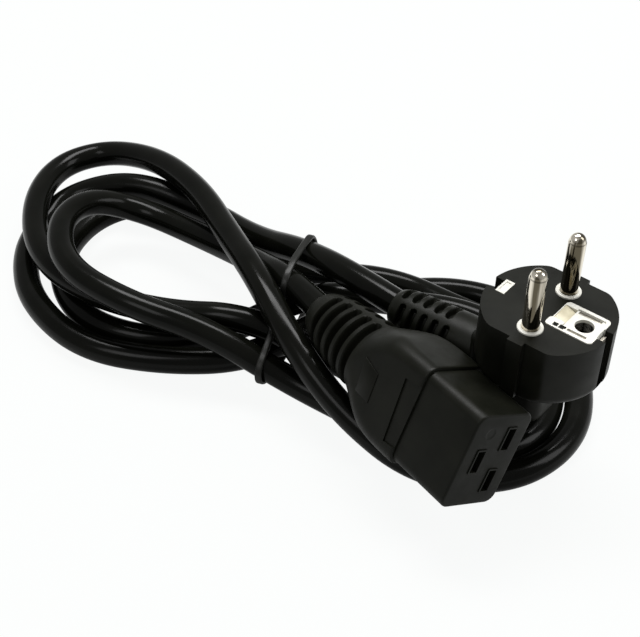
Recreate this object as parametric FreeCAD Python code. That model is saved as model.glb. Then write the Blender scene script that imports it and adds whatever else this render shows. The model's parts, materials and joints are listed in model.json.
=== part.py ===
import FreeCAD, Part
import math
import os
from FreeCAD import Vector

# A coiled power cord with a two pin plug and a three slot connector, in millimetres.
# The floor is z = 0 and the origin lies on it, under the middle of the whole box.

# Cord
CORD_D = 8.2
CORE_D = 2.5
WIRE_D = 1.5
TREFOIL = 1.5

# Route of the cord, from inside the connector to inside the plug
ROUTE = [
    (15.4, -24.0, 26.6),
    (1.6, -3.0, 26.7),
    (-11.0, 18.5, 17.1),
    (-29.5, 37.5, 12.6),
    (-48.5, 51.0, 12.1),
    (-64.5, 47.0, 19.6),
    (-72.5, 31.5, 22.1),
    (-67.5, 9.0, 22.1),
    (-47.0, -8.0, 22.1),
    (-23.0, -15.5, 18.1),
    (-0.5, -23.5, 6.6),
    (20.5, -36.5, 4.1),
    (46.0, -47.0, 4.1),
    (68.0, -44.5, 4.1),
    (76.5, -28.0, 4.1),
    (74.5, -7.5, 4.1),
    (55.0, 8.5, 4.1),
    (30.5, 12.5, 15.1),
    (6.0, 20.5, 9.1),
    (-13.0, 36.5, 4.1),
    (-31.0, 56.5, 4.1),
    (-51.0, 66.5, 4.1),
    (-67.0, 56.5, 4.1),
    (-75.0, 35.0, 4.1),
    (-66.5, 8.0, 4.1),
    (-44.0, -4.5, 4.1),
    (-17.5, -0.5, 4.1),
    (6.0, 6.5, 14.6),
    (32.0, 3.5, 13.1),
    (56.5, -1.5, 12.6),
    (69.0, -17.5, 12.6),
    (67.5, -35.0, 12.6),
    (51.0, -43.0, 12.6),
    (32.5, -30.0, 5.1),
    (12.5, -13.5, 6.1),
    (-12.0, -9.0, 18.1),
    (-36.5, -1.5, 12.6),
    (-61.0, 8.0, 12.6),
    (-79.0, 26.5, 12.6),
    (-84.5, 53.5, 13.1),
    (-79.0, 74.5, 13.1),
    (-63.0, 82.5, 13.6),
    (-44.0, 68.5, 20.1),
    (-29.0, 46.5, 23.6),
    (-19.0, 23.5, 24.1),
    (-9.0, -0.5, 26.6),
    (1.5, -24.0, 21.1),
    (16.0, -42.5, 11.1),
    (36.0, -58.5, 4.1),
    (61.0, -62.0, 4.1),
    (81.0, -46.5, 4.1),
    (86.5, -20.5, 4.1),
    (79.0, 5.0, 4.1),
    (57.0, 20.0, 4.1),
    (30.0, 19.0, 4.1),
    (10.0, 3.0, 5.6),
    (-11.5, -14.0, 5.6),
    (-37.5, -13.5, 4.1),
    (-62.5, -7.0, 4.1),
    (-80.5, 14.0, 4.1),
    (-86.0, 35.5, 4.1),
    (-83.5, 53.0, 4.1),
    (-74.0, 66.5, 7.1),
    (-51.5, 63.0, 15.1),
    (-27.5, 51.5, 11.6),
    (-10.5, 32.0, 14.6),
    (4.5, 14.5, 24.1),
    (19.5, -5.5, 30.5),
    (37.6, -22.3, 29.1),
]

# Connector: its own frame has X on the long side of the face, Z out of the face
CON_FACE = Vector(52.3, -76.3, 27.5)
CON_HEADING = -54.75
CON_PITCH = 0.8
CON_ROLL = 26.2
NOSE_X = 28.4
NOSE_Y = 20.4
NOSE_R = 3.0
NOSE_L = 20.5
GRIP_EXTRA = 2.0
GRIP_END = 46.0
CON_LENGTH = 74.0
CON_ROOT_D = 21.0
CON_TIP_D = 15.2
CON_PITCH_S = 4.35
SLOT_L = 6.5
SLOT_W = 2.6
SLOT_GAP = 13.0
SLOT_OFF = 4.0
LIP = 2.0
RIM = 0.5
RIM_H = 0.25
CONTACT_X = 7.8
CONTACT_Y = 4.0
CONTACT_L = 16.0
BARREL_D = 3.6
BARREL_L = 7.0
TENON_L = LIP + CONTACT_L + BARREL_L + 2.0 - NOSE_L

# Plug: its own frame has X to the earth hole, Y along the pins' row, Z along the pins
PLUG_FACE = Vector(69.1, -46.4, 53.0)
PLUG_HEADING = -38.1
PLUG_LEAN = 2.0
DISC_D = 36.0
DISC_H = 17.0
DISC_EDGE = 3.2
FLAT_Y = 15.6
RIB_W = 4.4
RIB_OUT = 1.5
PIN_D = 4.8
PIN_L = 19.0
PIN_GAP = 19.0
PIN_IN = 7.0
SHANK_D = 3.8
COLLAR_D = 7.0
COLLAR_H = 0.4
EARTH_X = 10.5
EARTH_D = 5.2
EARTH_OD = 6.8
EARTH_DEPTH = 13.0
FRAME_X0 = 2.3
FRAME_X1 = 15.5
FRAME_Y = 11.5
CLIP_W = 3.8
CLIP_T = 0.8
NOTCH_W = 4.2
BRIDGE_H = 10.0
BACK_W = 15.6
BACK_X0 = -19.0
BACK_X1 = 5.0
BACK_Z = -35.5
AXIS_Z = -25.0
NECK_X = -24.0
RELIEF_X = -47.0
RELIEF_ROOT_D = 16.4
RELIEF_TIP_D = 13.0
RELIEF_PITCH_S = 3.85

# Strain relief slots
RELIEF_SLOT_W = 1.6
RELIEF_SLOT_DEPTH = 1.8

# Tie round the waist of the coil
TIE_POINT = Vector(-1.9, -8.3, 19.0)
TIE_NORMAL = Vector(0.942, -0.335, 0.0)
TIE_W = 2.2
TIE_T = 1.3
TIE_REACH = 4.6
TIE_SLACK = 1.1


def block(x0, x1, y0, y1, z0, z1):
    """Box between two corners."""
    return Part.makeBox(x1 - x0, y1 - y0, z1 - z0, Vector(x0, y0, z0))


def rod(diameter, start, end):
    """Round rod between two points."""
    step = end - start
    return Part.makeCylinder(diameter / 2.0, step.Length, start, step)


def rounded_block(size_x, size_y, radius, z0, z1):
    """Upright box about the Z axis with rounded corners."""
    shape = block(-size_x / 2.0, size_x / 2.0, -size_y / 2.0, size_y / 2.0, z0, z1)
    upright = [e for e in shape.Edges if abs(e.tangentAt(e.FirstParameter).z) > 0.9]
    return shape.makeFillet(radius, upright)


def rounded_wire(size_x, size_y, radius, z):
    """Outline of a rounded rectangle at a height, for a loft."""
    a = size_x / 2.0 - radius
    b = size_y / 2.0 - radius
    edges = []
    for cx, cy, turn in ((a, b, 0.0), (-a, b, 90.0), (-a, -b, 180.0), (a, -b, 270.0)):
        p = []
        for angle in (turn, turn + 45.0, turn + 90.0):
            t = math.radians(angle)
            p.append(Vector(cx + radius * math.cos(t), cy + radius * math.sin(t), z))
        if edges:
            edges.append(Part.LineSegment(edges[-1].Vertexes[-1].Point, p[0]).toShape())
        edges.append(Part.Arc(p[0], p[1], p[2]).toShape())
    last = edges[-1].Vertexes[-1].Point
    edges.append(Part.LineSegment(last, edges[0].Vertexes[0].Point).toShape())
    return Part.Wire(edges)


def unit(v):
    """Copy of a vector at length one."""
    return Vector(v).normalize()


def tube(points, diameter, radii=None):
    """Round tube on straight runs joined by tangent arcs."""
    pts = [Vector(*p) for p in points]
    edges = []
    here = pts[0]
    for i in range(1, len(pts) - 1):
        back = pts[i - 1] - pts[i]
        ahead = pts[i + 1] - pts[i]
        cut = 0.45 * min(back.Length, ahead.Length)
        ub = unit(back)
        ua = unit(ahead)
        half_turn = (math.pi - ub.getAngle(ua)) / 2.0
        if half_turn < 0.01:
            continue
        radius = cut / math.tan(half_turn)
        if radii is not None:
            radii.append(radius)
        a = pts[i] + ub * cut
        b = pts[i] + ua * cut
        middle = unit(ub + ua)
        apex = pts[i] + middle * (radius / math.cos(half_turn) - radius)
        edges.append(Part.LineSegment(here, a).toShape())
        edges.append(Part.Arc(a, apex, b).toShape())
        here = b
    edges.append(Part.LineSegment(here, pts[-1]).toShape())
    path = Part.Wire(edges)
    ring = Part.Wire([Part.Circle(pts[0], pts[1] - pts[0], diameter / 2.0).toShape()])
    shape = path.makePipeShell([ring], True, True)
    return shape


def place(shape, origin, x_axis, z_axis):
    """Move a shape from its own frame to the shared one."""
    y_axis = z_axis.cross(x_axis)
    turn = FreeCAD.Rotation(x_axis, y_axis, z_axis, "ZXY")
    out = shape.copy()
    out.Placement = FreeCAD.Placement(origin, turn).multiply(out.Placement)
    return out


def connector_axes():
    """X and Z axes of the connector in the shared frame."""
    heading = math.radians(CON_HEADING)
    pitch = math.radians(CON_PITCH)
    roll = math.radians(CON_ROLL)
    flat = Vector(math.cos(heading), math.sin(heading), 0.0)
    z_axis = flat * math.cos(pitch) + Vector(0.0, 0.0, math.sin(pitch))
    side = Vector(-math.sin(heading), math.cos(heading), 0.0)
    up = z_axis.cross(side)
    x_axis = up * math.cos(roll) + side * math.sin(roll)
    return unit(x_axis), unit(z_axis)


def plug_axes():
    """X and Z axes of the plug in the shared frame."""
    lean = math.radians(PLUG_LEAN)
    z_axis = Vector(math.sin(lean), 0.0, math.cos(lean))
    heading = math.radians(PLUG_HEADING)
    flat = Vector(math.cos(heading), math.sin(heading), 0.0)
    x_axis = flat - z_axis * flat.dot(z_axis)
    return unit(x_axis), unit(z_axis)


def slot_sector(z, r_in, r_out, middle, span):
    """Curved slot across a strain relief that stands on the Z axis."""
    base = Vector(0, 0, z - RELIEF_SLOT_W / 2.0)
    outer = Part.makeCylinder(r_out, RELIEF_SLOT_W, base, Vector(0, 0, 1), span)
    outer.rotate(Vector(0, 0, 0), Vector(0, 0, 1), middle - span / 2.0)
    return outer.cut(Part.makeCylinder(r_in, RELIEF_SLOT_W, base))


def strain_relief(root_d, tip_d, length, rows, first, pitch):
    """Tapered sleeve on the Z axis with a rounded end and rows of five curved slots."""
    r0 = root_d / 2.0
    r1 = tip_d / 2.0
    points = [(0, 0), (r0, 0), (r1, length - 3.6), (r1 - 0.9, length - 1.3), (r1 - 2.3, length), (0, length)]
    pts = [Vector(x, 0, z) for x, z in points]
    pts.append(pts[0])
    body = Part.Face(Part.makePolygon(pts)).revolve(Vector(0, 0, 0), Vector(0, 0, 1), 360)
    cuts = []
    for middle, span, shift in rows:
        for k in range(5):
            z = first + (k + shift) * pitch
            r = r0 + (r1 - r0) * z / length
            cuts.append(slot_sector(z, r - RELIEF_SLOT_DEPTH, r + 1.0, middle, span))
    return body.cut(cuts)


def contact_spots():
    """Centres of the three slots in the connector face."""
    half = SLOT_GAP / 2.0
    return {"line": (half, -SLOT_OFF), "neutral": (-half, -SLOT_OFF), "earth": (0.0, SLOT_OFF)}


def trefoil_spots():
    """Places of the three cores inside the sheath."""
    side = TREFOIL * math.cos(math.radians(30.0))
    low = -TREFOIL * 0.5
    return {"line": (side, low), "neutral": (-side, low), "earth": (0.0, TREFOIL)}


def connector_contact(x, y):
    """Spring sleeve with its crimp barrel behind one slot."""
    top = -LIP
    end = top - CONTACT_L
    half_x = CONTACT_X / 2.0
    half_y = CONTACT_Y / 2.0
    sleeve = block(x - half_x, x + half_x, y - half_y, y + half_y, end, top)
    inner_x = SLOT_L / 2.0
    inner_y = SLOT_W / 2.0
    sleeve = sleeve.cut(block(x - inner_x, x + inner_x, y - inner_y, y + inner_y, end + 1.2, top))
    barrel = rod(BARREL_D, Vector(x, y, end), Vector(x, y, end - BARREL_L))
    shape = sleeve.fuse(barrel).removeSplitter()
    return shape.cut(rod(WIRE_D, Vector(x, y, end - BARREL_L + 5.5), Vector(x, y, end - BARREL_L)))


def connector_wire(x, y):
    """Bare wire end crimped into a contact barrel."""
    end = -LIP - CONTACT_L - BARREL_L
    return rod(WIRE_D, Vector(x, y, end + 5.5), Vector(x, y, end))


def connector_core(spot, inner):
    """Insulated core from a contact barrel to the sheath."""
    start = -LIP - CONTACT_L - BARREL_L
    x, y = spot
    tx, ty = inner
    route = [
        (x, y, start),
        (x, y, start - 6.0),
        (tx * 1.3, ty * 1.2, -46.0),
        (tx, ty, -64.0),
    ]
    return tube(route, CORE_D)


def connector_insert(contacts):
    """Nose block with the slots, the raised rims and the chambers."""
    nose = rounded_block(NOSE_X, NOSE_Y, NOSE_R, -NOSE_L, 0.0)
    front = [e for e in nose.Edges if abs(e.CenterOfMass.z) < 0.01]
    nose = nose.makeChamfer(0.5, front)
    tenon = rounded_block(NOSE_X - 5.0, NOSE_Y - 4.6, 2.0, -NOSE_L - TENON_L, -NOSE_L)
    shape = nose.fuse(tenon)
    for x, y in contact_spots().values():
        rx = SLOT_L / 2.0 + RIM
        ry = SLOT_W / 2.0 + RIM
        shape = shape.fuse(block(x - rx, x + rx, y - ry, y + ry, -1.0, RIM_H))
    shape = shape.removeSplitter()
    for x, y in contact_spots().values():
        sx = SLOT_L / 2.0
        sy = SLOT_W / 2.0
        shape = shape.cut(block(x - sx, x + sx, y - sy, y + sy, -LIP, RIM_H))
        cx = CONTACT_X / 2.0
        cy = CONTACT_Y / 2.0
        shape = shape.cut(block(x - cx, x + cx, y - cy, y + cy, -LIP - CONTACT_L, -LIP))
        end = -NOSE_L - TENON_L
        shape = shape.cut(rod(BARREL_D, Vector(x, y, -LIP - CONTACT_L), Vector(x, y, end)))
    dimple = Part.makeSphere(3.0, Vector(8.5, 3.7, 2.6))
    return shape.cut(dimple)


def grip():
    """Moulded grip behind the nose, narrowing to the strain relief."""
    gx = NOSE_X + GRIP_EXTRA
    gy = NOSE_Y + GRIP_EXTRA
    sections = [
        (NOSE_L, gx, gy, NOSE_R + 0.6),
        (33.0, gx, gy, NOSE_R + 1.4),
        (38.0, gx - 1.2, gy - 0.3, 6.0),
        (42.5, gx - 4.4, gy - 0.8, 8.4),
        (GRIP_END, CON_ROOT_D + 1.4, CON_ROOT_D + 0.4, CON_ROOT_D / 2.0),
    ]
    wires = [rounded_wire(sx, sy, r, -s) for s, sx, sy, r in sections]
    shape = Part.makeLoft(wires, True, True)
    pad = block(-11.0, 9.5, gy / 2.0 - 1.0, gy / 2.0 + 0.4, -NOSE_L - 6.0, -NOSE_L)
    return shape.fuse(pad)


def connector_body(hollow):
    """Overmould: grip and strain relief, round everything that it holds."""
    rows = [(90.0, 156.0, 0.0), (-90.0, 156.0, 0.0)]
    length = CON_LENGTH - GRIP_END
    relief = strain_relief(CON_ROOT_D, CON_TIP_D, length, rows, 3.0, CON_PITCH_S)
    relief.rotate(Vector(0, 0, 0), Vector(1, 0, 0), 180)
    relief.translate(Vector(0, 0, -GRIP_END))
    shape = grip().fuse(relief).removeSplitter()
    tenon = rounded_block(NOSE_X - 5.0, NOSE_Y - 4.6, 2.0, -NOSE_L - TENON_L, -NOSE_L)
    shape = shape.cut(tenon)
    return shape.cut(hollow)


def plug_pin(y):
    """Round pin with a domed tip and a crimp barrel below."""
    shape = rod(PIN_D, Vector(0, y, COLLAR_H), Vector(0, y, PIN_L))
    tip = [e for e in shape.Edges if e.CenterOfMass.z > PIN_L - 0.01 and e.Closed]
    shape = shape.makeFillet(PIN_D * 0.42, tip)
    barrel = rod(SHANK_D, Vector(0, y, -PIN_IN - 5.0), Vector(0, y, COLLAR_H))
    shape = shape.fuse(barrel)
    return shape.cut(rod(WIRE_D, Vector(0, y, -PIN_IN - 5.0), Vector(0, y, -PIN_IN - 1.0)))


def plug_wire(y):
    """Bare wire end crimped into a pin."""
    return rod(WIRE_D, Vector(0, y, -PIN_IN - 5.0), Vector(0, y, -PIN_IN - 1.0))


def plug_core(y, inner):
    """Insulated core from a pin barrel to the sheath."""
    ty, tz = inner
    side = 1.0 if y > 0 else -1.0
    route = [
        (0, y, -PIN_IN - 5.0),
        (-1.0, side * 8.6, -14.2),
        (-8.0, side * 5.4, -17.0),
        (-17.0, side * 2.2, AXIS_Z - 0.2),
        (RELIEF_X + 8.0, ty, AXIS_Z + tz),
    ]
    return tube(route, CORE_D)


def earth_socket():
    """Closed sleeve that takes the socket's earth pin."""
    outer = rod(EARTH_OD, Vector(EARTH_X, 0, -EARTH_DEPTH), Vector(EARTH_X, 0, -1.0))
    return outer.cut(rod(EARTH_D, Vector(EARTH_X, 0, -EARTH_DEPTH + 1.0), Vector(EARTH_X, 0, -1.0)))


def earth_strap():
    """Bent strip under the bridge with a clip leg in each side notch."""
    half = CLIP_W / 2.0
    low = -EARTH_DEPTH - CLIP_T
    x0 = -15.1 - CLIP_T
    x1 = FRAME_X1 + CLIP_T
    shape = block(x0, x1, -half, half, low, -EARTH_DEPTH)
    shape = shape.fuse(block(x0, x0 + CLIP_T, -half, half, low, -1.5))
    shape = shape.fuse(block(x1 - CLIP_T, x1, -half, half, low, -1.5))
    z = low - 1.5
    barrel = rod(3.2, Vector(-9.0, 0, z), Vector(-3.0, 0, z))
    shape = shape.fuse(barrel).removeSplitter()
    return shape.cut(rod(WIRE_D, Vector(-9.0, 0, z), Vector(-4.5, 0, z)))


def earth_wire():
    """Bare wire end crimped to the strap."""
    z = -EARTH_DEPTH - CLIP_T - 1.5
    return rod(WIRE_D, Vector(-9.0, 0, z), Vector(-4.5, 0, z))


def earth_core():
    """Insulated earth core from the strap to the sheath."""
    z = -EARTH_DEPTH - CLIP_T - 1.5
    route = [
        (-9.0, 0, z),
        (-13.5, 0, z - 0.8),
        (-22.0, 0, AXIS_Z + 1.6),
        (RELIEF_X + 8.0, 0, AXIS_Z + TREFOIL),
    ]
    return tube(route, CORE_D)


def plug_bridge():
    """White moulded bridge that holds the pins and shows at the face."""
    low = -2.0 - BRIDGE_H
    shape = rounded_block(13.0, 27.0, 3.0, low, -2.0)
    shape = shape.fuse(block(FRAME_X0, FRAME_X1, -FRAME_Y / 2.0, FRAME_Y / 2.0, low, -1.0))
    frame = rounded_block(FRAME_X1 - FRAME_X0, FRAME_Y, 1.3, -2.0, 0.0)
    frame.translate(Vector((FRAME_X0 + FRAME_X1) / 2.0, 0, 0))
    shape = shape.fuse(frame)
    shape = shape.fuse(block(-15.1, -6.0, -2.85, 2.85, low, -2.0))
    shape = shape.fuse(block(-15.1, -12.3, -2.85, 2.85, -2.0, 0.0))
    for y in (-PIN_GAP / 2.0, PIN_GAP / 2.0):
        shape = shape.fuse(rod(COLLAR_D, Vector(0, y, -2.5), Vector(0, y, COLLAR_H)))
    shape = shape.removeSplitter()
    for y in (-PIN_GAP / 2.0, PIN_GAP / 2.0):
        shape = shape.cut(rod(SHANK_D, Vector(0, y, low), Vector(0, y, COLLAR_H)))
    shape = shape.cut(rod(EARTH_OD, Vector(EARTH_X, 0, low), Vector(EARTH_X, 0, -1.0)))
    return shape.cut(rod(EARTH_D, Vector(EARTH_X, 0, -1.0), Vector(EARTH_X, 0, 0.0)))


def plug_shell():
    """Outside of the plug overmould: disc, back, neck and strain relief."""
    disc = rod(DISC_D, Vector(0, 0, -DISC_H), Vector(0, 0, 0))
    low = [e for e in disc.Edges if e.Closed and e.CenterOfMass.z < -DISC_H + 0.01]
    disc = disc.makeFillet(DISC_EDGE, low)
    far = DISC_D
    for s in (-1.0, 1.0):
        y0 = min(s * FLAT_Y, s * far)
        disc = disc.cut(block(-far, far, y0, y0 + far - FLAT_Y, -DISC_H, 0.0))
        rib_y = min(s * (FLAT_Y - 1.0), s * (FLAT_Y + RIB_OUT))
        rib = block(-RIB_W / 2.0, RIB_W / 2.0, rib_y, rib_y + 1.0 + RIB_OUT, -DISC_H + 1.0, 0.0)
        disc = disc.fuse(rib)
    back = block(BACK_X0, BACK_X1, -BACK_W / 2.0, BACK_W / 2.0, BACK_Z, -DISC_H + 4.0)
    soft = [e for e in back.Edges if e.CenterOfMass.z < -DISC_H + 3.9]
    back = back.makeFillet(3.6, soft)
    neck = rod(RELIEF_ROOT_D - 0.6, Vector(NECK_X - 1.0, 0, AXIS_Z), Vector(BACK_X0 + 3.0, 0, AXIS_Z))
    length = NECK_X - RELIEF_X
    rows = [(0.0, 44.0, 0.4), (90.0, 66.0, 0.0), (180.0, 44.0, 0.4), (270.0, 66.0, 0.0)]
    relief = strain_relief(RELIEF_ROOT_D, RELIEF_TIP_D, length, rows, 3.2, RELIEF_PITCH_S)
    relief.rotate(Vector(0, 0, 0), Vector(0, 1, 0), -90)
    relief.translate(Vector(NECK_X, 0, AXIS_Z))
    return disc.fuse([back, neck, relief]).removeSplitter()


def plug_body(hollow):
    """Plug overmould with its notches, round everything that it holds."""
    shape = plug_shell()
    half = NOTCH_W / 2.0
    far = DISC_D
    shape = shape.cut(block(-far, -15.1, -half, half, -DISC_H + 3.2, 0.0))
    shape = shape.cut(block(FRAME_X1, far, -half, half, -DISC_H + 1.4, 0.0))
    mouth = rod(EARTH_D, Vector(EARTH_X, 0, -EARTH_DEPTH + 1.0), Vector(EARTH_X, 0, 0.0))
    return shape.cut(mouth).cut(hollow)


def outline_points():
    """Crossings of the cord with the tie plane that lie on the outside of the bundle."""
    normal = unit(TIE_NORMAL)
    across = unit(Vector(0, 0, 1).cross(normal))
    spots = []
    for p, q in zip(ROUTE[:-1], ROUTE[1:]):
        a = Vector(*p) - TIE_POINT
        b = Vector(*q) - TIE_POINT
        da = a.dot(normal)
        db = b.dot(normal)
        if da * db > 0 or abs(da - db) < 0.01:
            continue
        c = a + (b - a) * (da / (da - db))
        h = c.dot(across)
        if abs(h) > 45.0:
            continue
        slope = abs(unit(b - a).dot(normal))
        wide = min(CORD_D / 2.0 / max(slope, 0.1), CORD_D) - CORD_D / 2.0 + TIE_SLACK
        spots.append((h - wide, c.z + TIE_POINT.z))
        spots.append((h + wide, c.z + TIE_POINT.z))
    return spots, normal, across


def hull(spots):
    """Outer polygon of a set of flat points, anticlockwise."""
    pts = sorted(spots)
    rows = []
    for order in (pts, pts[::-1]):
        side = []
        for p in order:
            while len(side) > 1:
                ax = side[-1][0] - side[-2][0]
                az = side[-1][1] - side[-2][1]
                if ax * (p[1] - side[-2][1]) - az * (p[0] - side[-2][0]) > 0:
                    break
                side.pop()
            side.append(p)
        rows += side[:-1]
    return rows


def twist_tie():
    """Closed loop drawn tight round the bundle, its underside just over the floor."""
    spots, normal, across = outline_points()
    floor = TIE_REACH + TIE_T + 0.05
    ring = [(h, max(z, floor)) for h, z in hull(spots)]
    pts = [TIE_POINT + across * h + Vector(0, 0, z - TIE_POINT.z) for h, z in ring]
    pts.append(pts[0])
    wire = Part.makePolygon(pts)
    inner = wire.makeOffset2D(TIE_REACH)
    outer = wire.makeOffset2D(TIE_REACH + TIE_T)
    face = Part.Face(outer).cut(Part.Face(inner))
    shape = face.extrude(normal * TIE_W)
    shape.translate(normal * (-TIE_W / 2.0))
    return shape.Solids[0]


def build():
    """Make every node in the shared frame."""
    nodes = {}
    radii = []
    cord = tube(ROUTE, CORD_D, radii)
    nodes["cord"] = cord
    section = math.pi * CORD_D ** 2 / 4.0
    print("cord length from volume", round(cord.Volume / section, 1))
    print("arc radii", [round(r, 1) for r in radii])

    cx, cz = connector_axes()
    spots = contact_spots()
    inner = trefoil_spots()
    held = []
    for name in ("line", "neutral", "earth"):
        contact = connector_contact(*spots[name])
        wire = connector_wire(*spots[name])
        core = connector_core(spots[name], inner[name])
        held += [contact, core]
        nodes["connector_%s_contact" % name] = place(contact, CON_FACE, cx, cz)
        nodes["connector_%s_wire" % name] = place(wire, CON_FACE, cx, cz)
        nodes["connector_%s_core" % name] = place(core, CON_FACE, cx, cz)
    insert = connector_insert(held)
    nodes["connector_insert"] = place(insert, CON_FACE, cx, cz)
    body = place(connector_body(held), CON_FACE, cx, cz)
    nodes["connector_body"] = body.cut(tube(ROUTE[:4], CORD_D))

    px, pz = plug_axes()
    half = PIN_GAP / 2.0
    parts = {
        "plug_line_pin": plug_pin(half),
        "plug_neutral_pin": plug_pin(-half),
        "plug_line_wire": plug_wire(half),
        "plug_neutral_wire": plug_wire(-half),
        "plug_earth_wire": earth_wire(),
        "plug_line_core": plug_core(half, inner["line"]),
        "plug_neutral_core": plug_core(-half, inner["neutral"]),
        "plug_earth_core": earth_core(),
        "plug_earth_socket": earth_socket(),
        "plug_earth_strap": earth_strap(),
        "plug_bridge": plug_bridge(),
    }
    body = place(plug_body(list(parts.values())), PLUG_FACE, px, pz)
    for name, shape in parts.items():
        nodes[name] = place(shape, PLUG_FACE, px, pz)
    nodes["plug_body"] = body.cut(tube(ROUTE[-4:][::-1], CORD_D))
    nodes["twist_tie"] = twist_tie()
    return nodes


def main():
    """Build, report and export."""
    os.makedirs("parts", exist_ok=True)
    nodes = build()
    whole = FreeCAD.BoundBox()
    for name in sorted(nodes):
        shape = nodes[name]
        if len(shape.Solids) == 1:
            shape = shape.Solids[0]
        whole.add(shape.BoundBox)
        print(name, shape.ShapeType, len(shape.Solids), shape.isValid(), round(shape.Volume, 1))
        shape.exportStep("parts/%s.step" % name)
    print("box", [round(v, 2) for v in (whole.XMin, whole.XMax, whole.YMin, whole.YMax)])
    print("height", round(whole.ZMin, 3), round(whole.ZMax, 3))


main()
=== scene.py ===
import json
import logging
import math
from collections.abc import Callable
from dataclasses import dataclass
from enum import Enum

import bmesh
import bpy
from mathutils import Matrix, Vector


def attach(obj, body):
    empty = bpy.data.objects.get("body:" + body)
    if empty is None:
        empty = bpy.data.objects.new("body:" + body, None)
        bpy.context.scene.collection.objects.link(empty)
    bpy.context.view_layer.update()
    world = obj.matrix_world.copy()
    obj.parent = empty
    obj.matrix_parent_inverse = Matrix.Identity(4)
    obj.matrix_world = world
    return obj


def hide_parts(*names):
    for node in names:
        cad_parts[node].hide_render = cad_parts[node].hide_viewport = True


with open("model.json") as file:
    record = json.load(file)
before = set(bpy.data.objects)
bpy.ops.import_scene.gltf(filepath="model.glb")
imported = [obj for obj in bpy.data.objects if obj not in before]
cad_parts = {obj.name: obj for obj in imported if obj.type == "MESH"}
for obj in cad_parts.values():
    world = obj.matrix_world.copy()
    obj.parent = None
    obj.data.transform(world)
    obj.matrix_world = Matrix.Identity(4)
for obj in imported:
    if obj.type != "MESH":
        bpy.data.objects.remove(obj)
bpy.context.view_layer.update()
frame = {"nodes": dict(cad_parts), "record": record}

Flat = tuple[float, float]
Point = tuple[float, float, float]
Mesh = bmesh.types.BMesh
Tree = bpy.types.NodeTree
Node = bpy.types.Node
Socket = bpy.types.NodeSocket

LOG = logging.getLogger("power_cord")

# Pieces are drawn in millimetres and placed in the metres of the shared frame
MM = 0.001
MM_PER_METRE = 1000.0
FULL_TURN = 2.0 * math.pi
# Vertices that are nearer than this are one, in millimetres
MERGE = 1e-5
# Differences that are smaller than this count as none
TINY = 1e-6
# How far a cutting tool stands out of the face that it cuts, in millimetres
PROUD = 1.0
# White of the floor and the surround, where the camera or a mirroring surface sees them
PAGE_WHITE = (0.985, 0.995, 0.99, 1.0)

# Route of the cord in metres, from inside the connector to inside the plug
ROUTE: list[Point] = [
    (0.0154, -0.0240, 0.0266), (0.0016, -0.0030, 0.0267), (-0.0110, 0.0185, 0.0171),
    (-0.0295, 0.0375, 0.0126), (-0.0485, 0.0510, 0.0121), (-0.0645, 0.0470, 0.0196),
    (-0.0725, 0.0315, 0.0221), (-0.0675, 0.0090, 0.0221), (-0.0470, -0.0080, 0.0221),
    (-0.0230, -0.0155, 0.0181), (-0.0005, -0.0235, 0.0066), (0.0205, -0.0365, 0.0041),
    (0.0465, -0.0540, 0.0041), (0.0679, -0.0490, 0.0041), (0.0779, -0.0290, 0.0041),
    (0.0740, -0.0025, 0.0041), (0.0550, 0.0085, 0.0041), (0.0305, 0.0125, 0.0151),
    (0.0060, 0.0205, 0.0091), (-0.0130, 0.0365, 0.0041), (-0.0310, 0.0565, 0.0041),
    (-0.0510, 0.0665, 0.0041), (-0.0670, 0.0565, 0.0041), (-0.0750, 0.0350, 0.0041),
    (-0.0665, 0.0080, 0.0041), (-0.0440, -0.0045, 0.0041), (-0.0175, -0.0005, 0.0041),
    (0.0060, 0.0065, 0.0146), (0.0320, 0.0035, 0.0131), (0.0565, -0.0015, 0.0126),
    (0.0710, -0.0180, 0.0126), (0.0698, -0.0368, 0.0126), (0.0525, -0.0450, 0.0126),
    (0.0325, -0.0300, 0.0051), (0.0125, -0.0135, 0.0061), (-0.0120, -0.0090, 0.0181),
    (-0.0365, -0.0015, 0.0126), (-0.0610, 0.0080, 0.0126), (-0.0790, 0.0265, 0.0126),
    (-0.0845, 0.0535, 0.0131), (-0.0790, 0.0745, 0.0131), (-0.0630, 0.0825, 0.0136),
    (-0.0440, 0.0685, 0.0201), (-0.0290, 0.0465, 0.0236), (-0.0190, 0.0235, 0.0241),
    (-0.0090, -0.0005, 0.0266), (0.0015, -0.0240, 0.0211), (0.0160, -0.0425, 0.0111),
    (0.0360, -0.0585, 0.0041), (0.0610, -0.0620, 0.0041), (0.0810, -0.0465, 0.0041),
    (0.0865, -0.0205, 0.0041), (0.0790, 0.0050, 0.0041), (0.0570, 0.0200, 0.0041),
    (0.0300, 0.0190, 0.0041), (0.0100, 0.0030, 0.0056), (-0.0115, -0.0140, 0.0056),
    (-0.0375, -0.0135, 0.0041), (-0.0625, -0.0070, 0.0041), (-0.0805, 0.0140, 0.0041),
    (-0.0860, 0.0355, 0.0041), (-0.0835, 0.0530, 0.0041), (-0.0740, 0.0665, 0.0071),
    (-0.0515, 0.0630, 0.0151), (-0.0275, 0.0515, 0.0116), (-0.0105, 0.0320, 0.0146),
    (0.0045, 0.0145, 0.0241), (0.0195, -0.0055, 0.0305), (0.0376, -0.0223, 0.0291),
]


class Slot(Enum):
    """Material slots of the record that the pieces take their finish from."""

    HOUSING = "housing"
    SHEATH = "sheath"
    WHITE = "white_nylon"
    NICKEL = "nickel"
    STRIP = "strip_metal"
    BROWN = "core_brown"
    BLUE = "core_blue"
    STRIPED = "core_green_yellow"
    COPPER = "copper"
    TIE = "tie_plastic"


class Grain(Enum):
    """How the fine bump of a finish runs."""

    SPARK = "spark"
    DRAWN = "drawn"
    SMOOTH = "smooth"


class Carving(Enum):
    """What tools do to the mesh that they act on."""

    CUT = "DIFFERENCE"
    JOIN = "UNION"


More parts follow.
